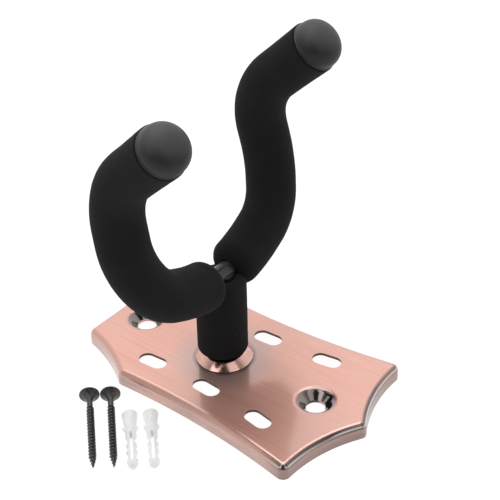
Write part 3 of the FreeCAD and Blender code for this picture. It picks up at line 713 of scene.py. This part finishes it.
def cap(name, side):
    """Moulded cap: a lip round its foot, a fine groove, and a dome fuller than a round one."""
    knee, tip = (Vector((x, side * y, z)) for x, y, z in ARM[-2:])
    bore = ROD_RADIUS + CAP_PLAY
    profile = [(0.0, bore)] + [(height, CAP_RADIUS + offset) for height, offset in CAP_LIP]
    foot, reach = profile[-1]
    rise = CAP_SKIRT + CAP_RISE - foot
    steps = 28
    for k in range(1, steps):
        angle = math.pi / 2 * k / steps
        up, out = math.sin(angle) ** (2 / CAP_FULLNESS), math.cos(angle) ** (2 / CAP_FULLNESS)
        profile.append((foot + rise * up, reach * out))
    profile += [(foot + rise, 0), (CAP_BORE_DEPTH, 0), (CAP_BORE_DEPTH, bore)]
    vertices, faces = tube_along(straight(tip, tip - knee), profile, 96)
    return transform(mesh_object(name, vertices, faces), yoke_matrix)


for side, word in SIDES:
    finish_piece(cap(f"cap_{word}_dome", side), "yoke", "cap_rubber", MATERIALS["cap_rubber"], f"cap_{word}")


# ---------------------------------------------------------------- screws and plugs


FLOOR_PLAY = 0.02


def lying(x, y, heading, head_radius, far_radius, far):
    """The place of a piece that lies on its head's rim and one point further on, -Z along the heading."""
    tilt = math.asin((head_radius - far_radius) / far)
    angle = math.radians(heading)
    look = Vector((math.cos(angle) * math.cos(tilt), math.sin(angle) * math.cos(tilt), -math.sin(tilt)))
    height = head_radius * math.cos(tilt) + FLOOR_PLAY
    side = (-look).cross(Vector((0, 0, 1))).normalized()
    turn = Matrix((side.cross(-look), side, -look)).transposed().to_4x4()
    return Matrix.Translation((x, y, height)) @ turn


SCREW_LENGTH = 41.0
SCREW_POINT = 6.0
SCREW_TIP = 1.2
SCREW_HEAD = 4.15
SCREW_RIM = 0.4
SCREW_FLARE = 4.6
SCREW_NECK = 1.15
SCREW_ROOT = 0.95
THREAD_RADIUS = 1.55
THREAD_PITCH = 1.7
THREAD_START = 6.5
THREAD_END = SCREW_LENGTH - 0.8
THREAD_SINK = 0.12
THREAD_HALF_FOOT = 0.42
THREAD_HALF_CREST = 0.06
THREAD_STEPS = 28


def screw_core(name):
    """Trumpet head, neck and tapering core, without the thread."""
    profile = [(0, 0), (0, SCREW_HEAD - 0.15), (0.12, SCREW_HEAD), (SCREW_RIM, SCREW_HEAD)]
    steps = 12
    for k in range(1, steps + 1):
        share = k / steps
        radius = SCREW_NECK + (SCREW_HEAD - SCREW_NECK) * (1 - share) ** 2.6
        profile.append((SCREW_RIM + SCREW_FLARE * share, radius))
    profile += [(THREAD_START, SCREW_NECK), (THREAD_START + 1, SCREW_ROOT)]
    profile += [(SCREW_LENGTH - SCREW_POINT, SCREW_ROOT), (SCREW_LENGTH - SCREW_TIP, 0.35), (SCREW_LENGTH, 0)]
    axis = straight((0, 0, 0), (0, 0, -1))
    return sharpen(mesh_object(name, *tube_along(axis, profile, 40, closed=False)), 40)


def cut_cross(core):
    """Cuts a cross recess: two tapering slots at right angles."""
    half, reach, top, depth, taper = 0.5, 2.0, 0.3, 1.7, 0.45
    corners = [(-reach, -half), (reach, -half), (reach, half), (-reach, half)]
    points = [(x, y, top) for x, y in corners] + [(x * taper, y * taper, -depth) for x, y in corners]
    for angle in (0.0, math.pi / 2):
        slot = mesh_object("cross", points, BOX_FACES, smooth=False)
        cut(core, transform(slot, Matrix.Rotation(angle, 4, "Z")))


def screw_thread(name):
    """A running thread that fades in and out, and tapers with the point."""
    count = int((THREAD_END - THREAD_START) / THREAD_PITCH * THREAD_STEPS)
    vertices, faces = [], []
    for i in range(count + 1):
        s = THREAD_START + i / THREAD_STEPS * THREAD_PITCH
        fade = min(1, i / THREAD_STEPS, (count - i) / (0.6 * THREAD_STEPS))
        taper = min(1, max(0.12, (SCREW_LENGTH - s) / SCREW_POINT))
        foot = SCREW_ROOT * taper - THREAD_SINK
        crest = SCREW_ROOT * taper + (THREAD_RADIUS - SCREW_ROOT) * fade * (0.5 + 0.5 * taper)
        angle = 2 * math.pi * i / THREAD_STEPS
        out = Vector((math.cos(angle), math.sin(angle), 0))
        outline = [(foot, -THREAD_HALF_FOOT), (crest, -THREAD_HALF_CREST)]
        outline += [(radius, -shift) for radius, shift in reversed(outline)]
        vertices += [out * radius + Vector((0, 0, -(s + shift))) for radius, shift in outline]
    for i in range(count):
        for k in range(4):
            n = (k + 1) % 4
            faces.append((4 * i + k, 4 * i + n, 4 * i + 4 + n, 4 * i + 4 + k))
    faces += [(0, 1, 2, 3), tuple(4 * count + k for k in (3, 2, 1, 0))]
    return sharpen(mesh_object(name, vertices, faces), 35)


def screw(name, place):
    """Trumpet-headed screw with a cross recess and a running thread."""
    core = screw_core(name)
    cut_cross(core)
    whole = join(name, [core, screw_thread(f"{name}_thread")])
    return transform(whole, lying(*place, SCREW_HEAD, THREAD_RADIUS, SCREW_LENGTH - SCREW_POINT))


screws = join("wall_screws_threaded", [screw(f"screw_{n}", place) for n, place in enumerate(SCREWS)])
finish_piece(screws, "wall_plate", "screw_steel", MATERIALS["screw_steel"], "wall_screws")


PLUG_LENGTH = 30.0
PLUG_MOUTH = 3.2
PLUG_WAIST = 1.7
# the plug rests on its mouth and on the nose's first ring
PLUG_BARB = 2.25
PLUG_REST = 27.4
# (distance from the mouth, radius): mouth, neck, three barbs and nose, then back up the bore
PLUG_PROFILE = [
    (0, 1.3), (0, 3.0), (0.15, PLUG_MOUTH), (0.8, 3.15), (7.5, PLUG_BARB), (13.0, 2.3), (14.5, PLUG_WAIST),
    (17.0, PLUG_WAIST), (17.6, 2.3), (18.0, PLUG_BARB), (19.4, PLUG_WAIST),
    (20.8, PLUG_WAIST), (21.4, 2.3), (21.8, PLUG_BARB), (23.2, PLUG_WAIST),
    (25.4, PLUG_WAIST), (26.0, PLUG_BARB), (PLUG_REST, PLUG_BARB), (28.6, 1.9), (29.5, 1.25),
    (PLUG_LENGTH, 0), (27.5, 0), (27.0, 0.45),
]
PLUG_SLIT = (-11.5, -27.2)
PLUG_WING = [(1.9, -6.9), (3.3, -6.9), (3.2, -8.0), (1.9, -10.2)]


def plug(name, place):
    """Split plug: flared mouth, two wings, barbed legs and a rounded nose."""
    body = mesh_object(name, *tube_along(straight((0, 0, 0), (0, 0, -1)), PLUG_PROFILE, 48))
    sharpen(body, 35)
    slit = [(x, y, z) for z in PLUG_SLIT for x, y in ((-5, -0.5), (5, -0.5), (5, 0.5), (-5, 0.5))]
    cut(body, mesh_object("slit", slit, BOX_FACES, smooth=False))
    pieces = [body]
    for way in (-1, 1):
        points = [(x, way * y, z) for x in (-0.6, 0.6) for y, z in PLUG_WING]
        pieces.append(mesh_object(f"{name}_wing", points, BOX_FACES, smooth=False))
    return transform(join(name, pieces), lying(*place, PLUG_MOUTH, PLUG_BARB, PLUG_REST))


plugs = join("wall_plugs_moulded", [plug(f"plug_{n}", place) for n, place in enumerate(PLUGS)])
finish_piece(plugs, "wall_plate", "plug_plastic", MATERIALS["plug_plastic"], "wall_plugs")


# ---------------------------------------------------------------- floor, light and camera


# the floor in millimetres, the camera in metres and degrees
FLOOR_HALF, FLOOR_LEVEL = 3000, -0.05
CAMERA_PLACE = (0.32138, -0.37508, 0.39989)
CAMERA_ANGLES = (39.2507, 34.5867, -1.4336)
CAMERA_LENS = 109.83
TOWARDS_CAMERA = (0.52, -0.64, 0.57)
# (share of the way round from behind the hanger to the camera, brightness)
STUDIO_GREYS = [(0.0, 1.0), (0.58, 0.95), (0.8, 0.25), (0.93, 0.04)]


def put(name, data):
    """A camera or light as an object of the scene."""
    piece = bpy.data.objects.new(name, data)
    bpy.context.scene.collection.objects.link(piece)
    return piece


def floor():
    """A white table that is lit from below."""
    shade = Shade("floor_paper", Roughness=0.95, Specular_IOR_Level=0.1, Emission_Strength=0.93)
    tint = shade.ramp(shade.noise(0.02, 2), [(0.3, (0.15, 0.15, 0.15)), (0.7, (0.17, 0.17, 0.17))])
    shade.set("Base Color", tint)
    shade.set("Emission Color", (1.0, 1.0, 1.0))
    corners = [(FLOOR_HALF * x, FLOOR_HALF * y, FLOOR_LEVEL) for x, y in ((-1, -1), (1, -1), (1, 1), (-1, 1))]
    piece = mesh_object("floor", corners, [(0, 1, 2, 3)])
    piece.data.materials.append(shade.material)


def area_light(name, place, target, size, watts):
    """A rectangular softbox that faces its target."""
    light = bpy.data.lights.new(name, "AREA")
    light.shape = "RECTANGLE"
    light.size, light.size_y = size
    light.energy = watts
    piece = put(name, light)
    piece.location = place
    piece.rotation_euler = (Vector(target) - Vector(place)).to_track_quat("-Z", "Y").to_euler()


def world():
    """A studio that is white behind the hanger and dark above and behind the camera."""
    studio = bpy.data.worlds.new("studio")
    bpy.context.scene.world = studio
    studio.use_nodes = True
    tree = studio.node_tree
    coordinates = tree.nodes.new("ShaderNodeTexCoord")
    towards = tree.nodes.new("ShaderNodeVectorMath")
    towards.operation = "DOT_PRODUCT"
    towards.inputs[1].default_value = TOWARDS_CAMERA
    share = tree.nodes.new("ShaderNodeMapRange")
    share.inputs["From Min"].default_value = -1.0
    ramp = tree.nodes.new("ShaderNodeValToRGB")
    fill_ramp(ramp, STUDIO_GREYS)
    tree.links.new(coordinates.outputs["Generated"], towards.inputs[0])
    tree.links.new(towards.outputs["Value"], share.inputs["Value"])
    tree.links.new(share.outputs["Result"], ramp.inputs["Fac"])
    tree.links.new(ramp.outputs["Color"], tree.nodes["Background"].inputs["Color"])


def camera():
    """The photo's camera: azimuth round the hanger, elevation over the table, and a little roll."""
    data = bpy.data.cameras.new("camera")
    data.sensor_width = 36.0
    data.lens = CAMERA_LENS
    data.clip_start = 0.01
    data.clip_end = 20.0
    azimuth, elevation, roll = (math.radians(angle) for angle in CAMERA_ANGLES)
    flat = math.cos(elevation)
    right = Vector((math.cos(azimuth), math.sin(azimuth), 0))
    back = Vector((math.sin(azimuth) * flat, -math.cos(azimuth) * flat, math.sin(elevation)))
    up = back.cross(right)
    across = right * math.cos(roll) + up * math.sin(roll)
    upward = up * math.cos(roll) - right * math.sin(roll)
    turn = Matrix((across, upward, back)).transposed().to_4x4()
    piece = put("camera", data)
    piece.matrix_world = Matrix.Translation(CAMERA_PLACE) @ turn
    bpy.context.scene.camera = piece


floor()
world()
area_light("softbox_left", (-0.09, -0.68, 0.73), (0, 0, 0.03), (0.42, 1.0), 2.2)
area_light("softbox_right", (0.73, -0.10, 0.68), (0, 0, 0.03), (0.5, 1.0), 1.5)
area_light("overhead", (-0.15, 0.2, 1.1), (0, 0, 0.05), (0.9, 0.9), 4.8)
camera()
bpy.context.scene.view_settings.view_transform = "Standard"
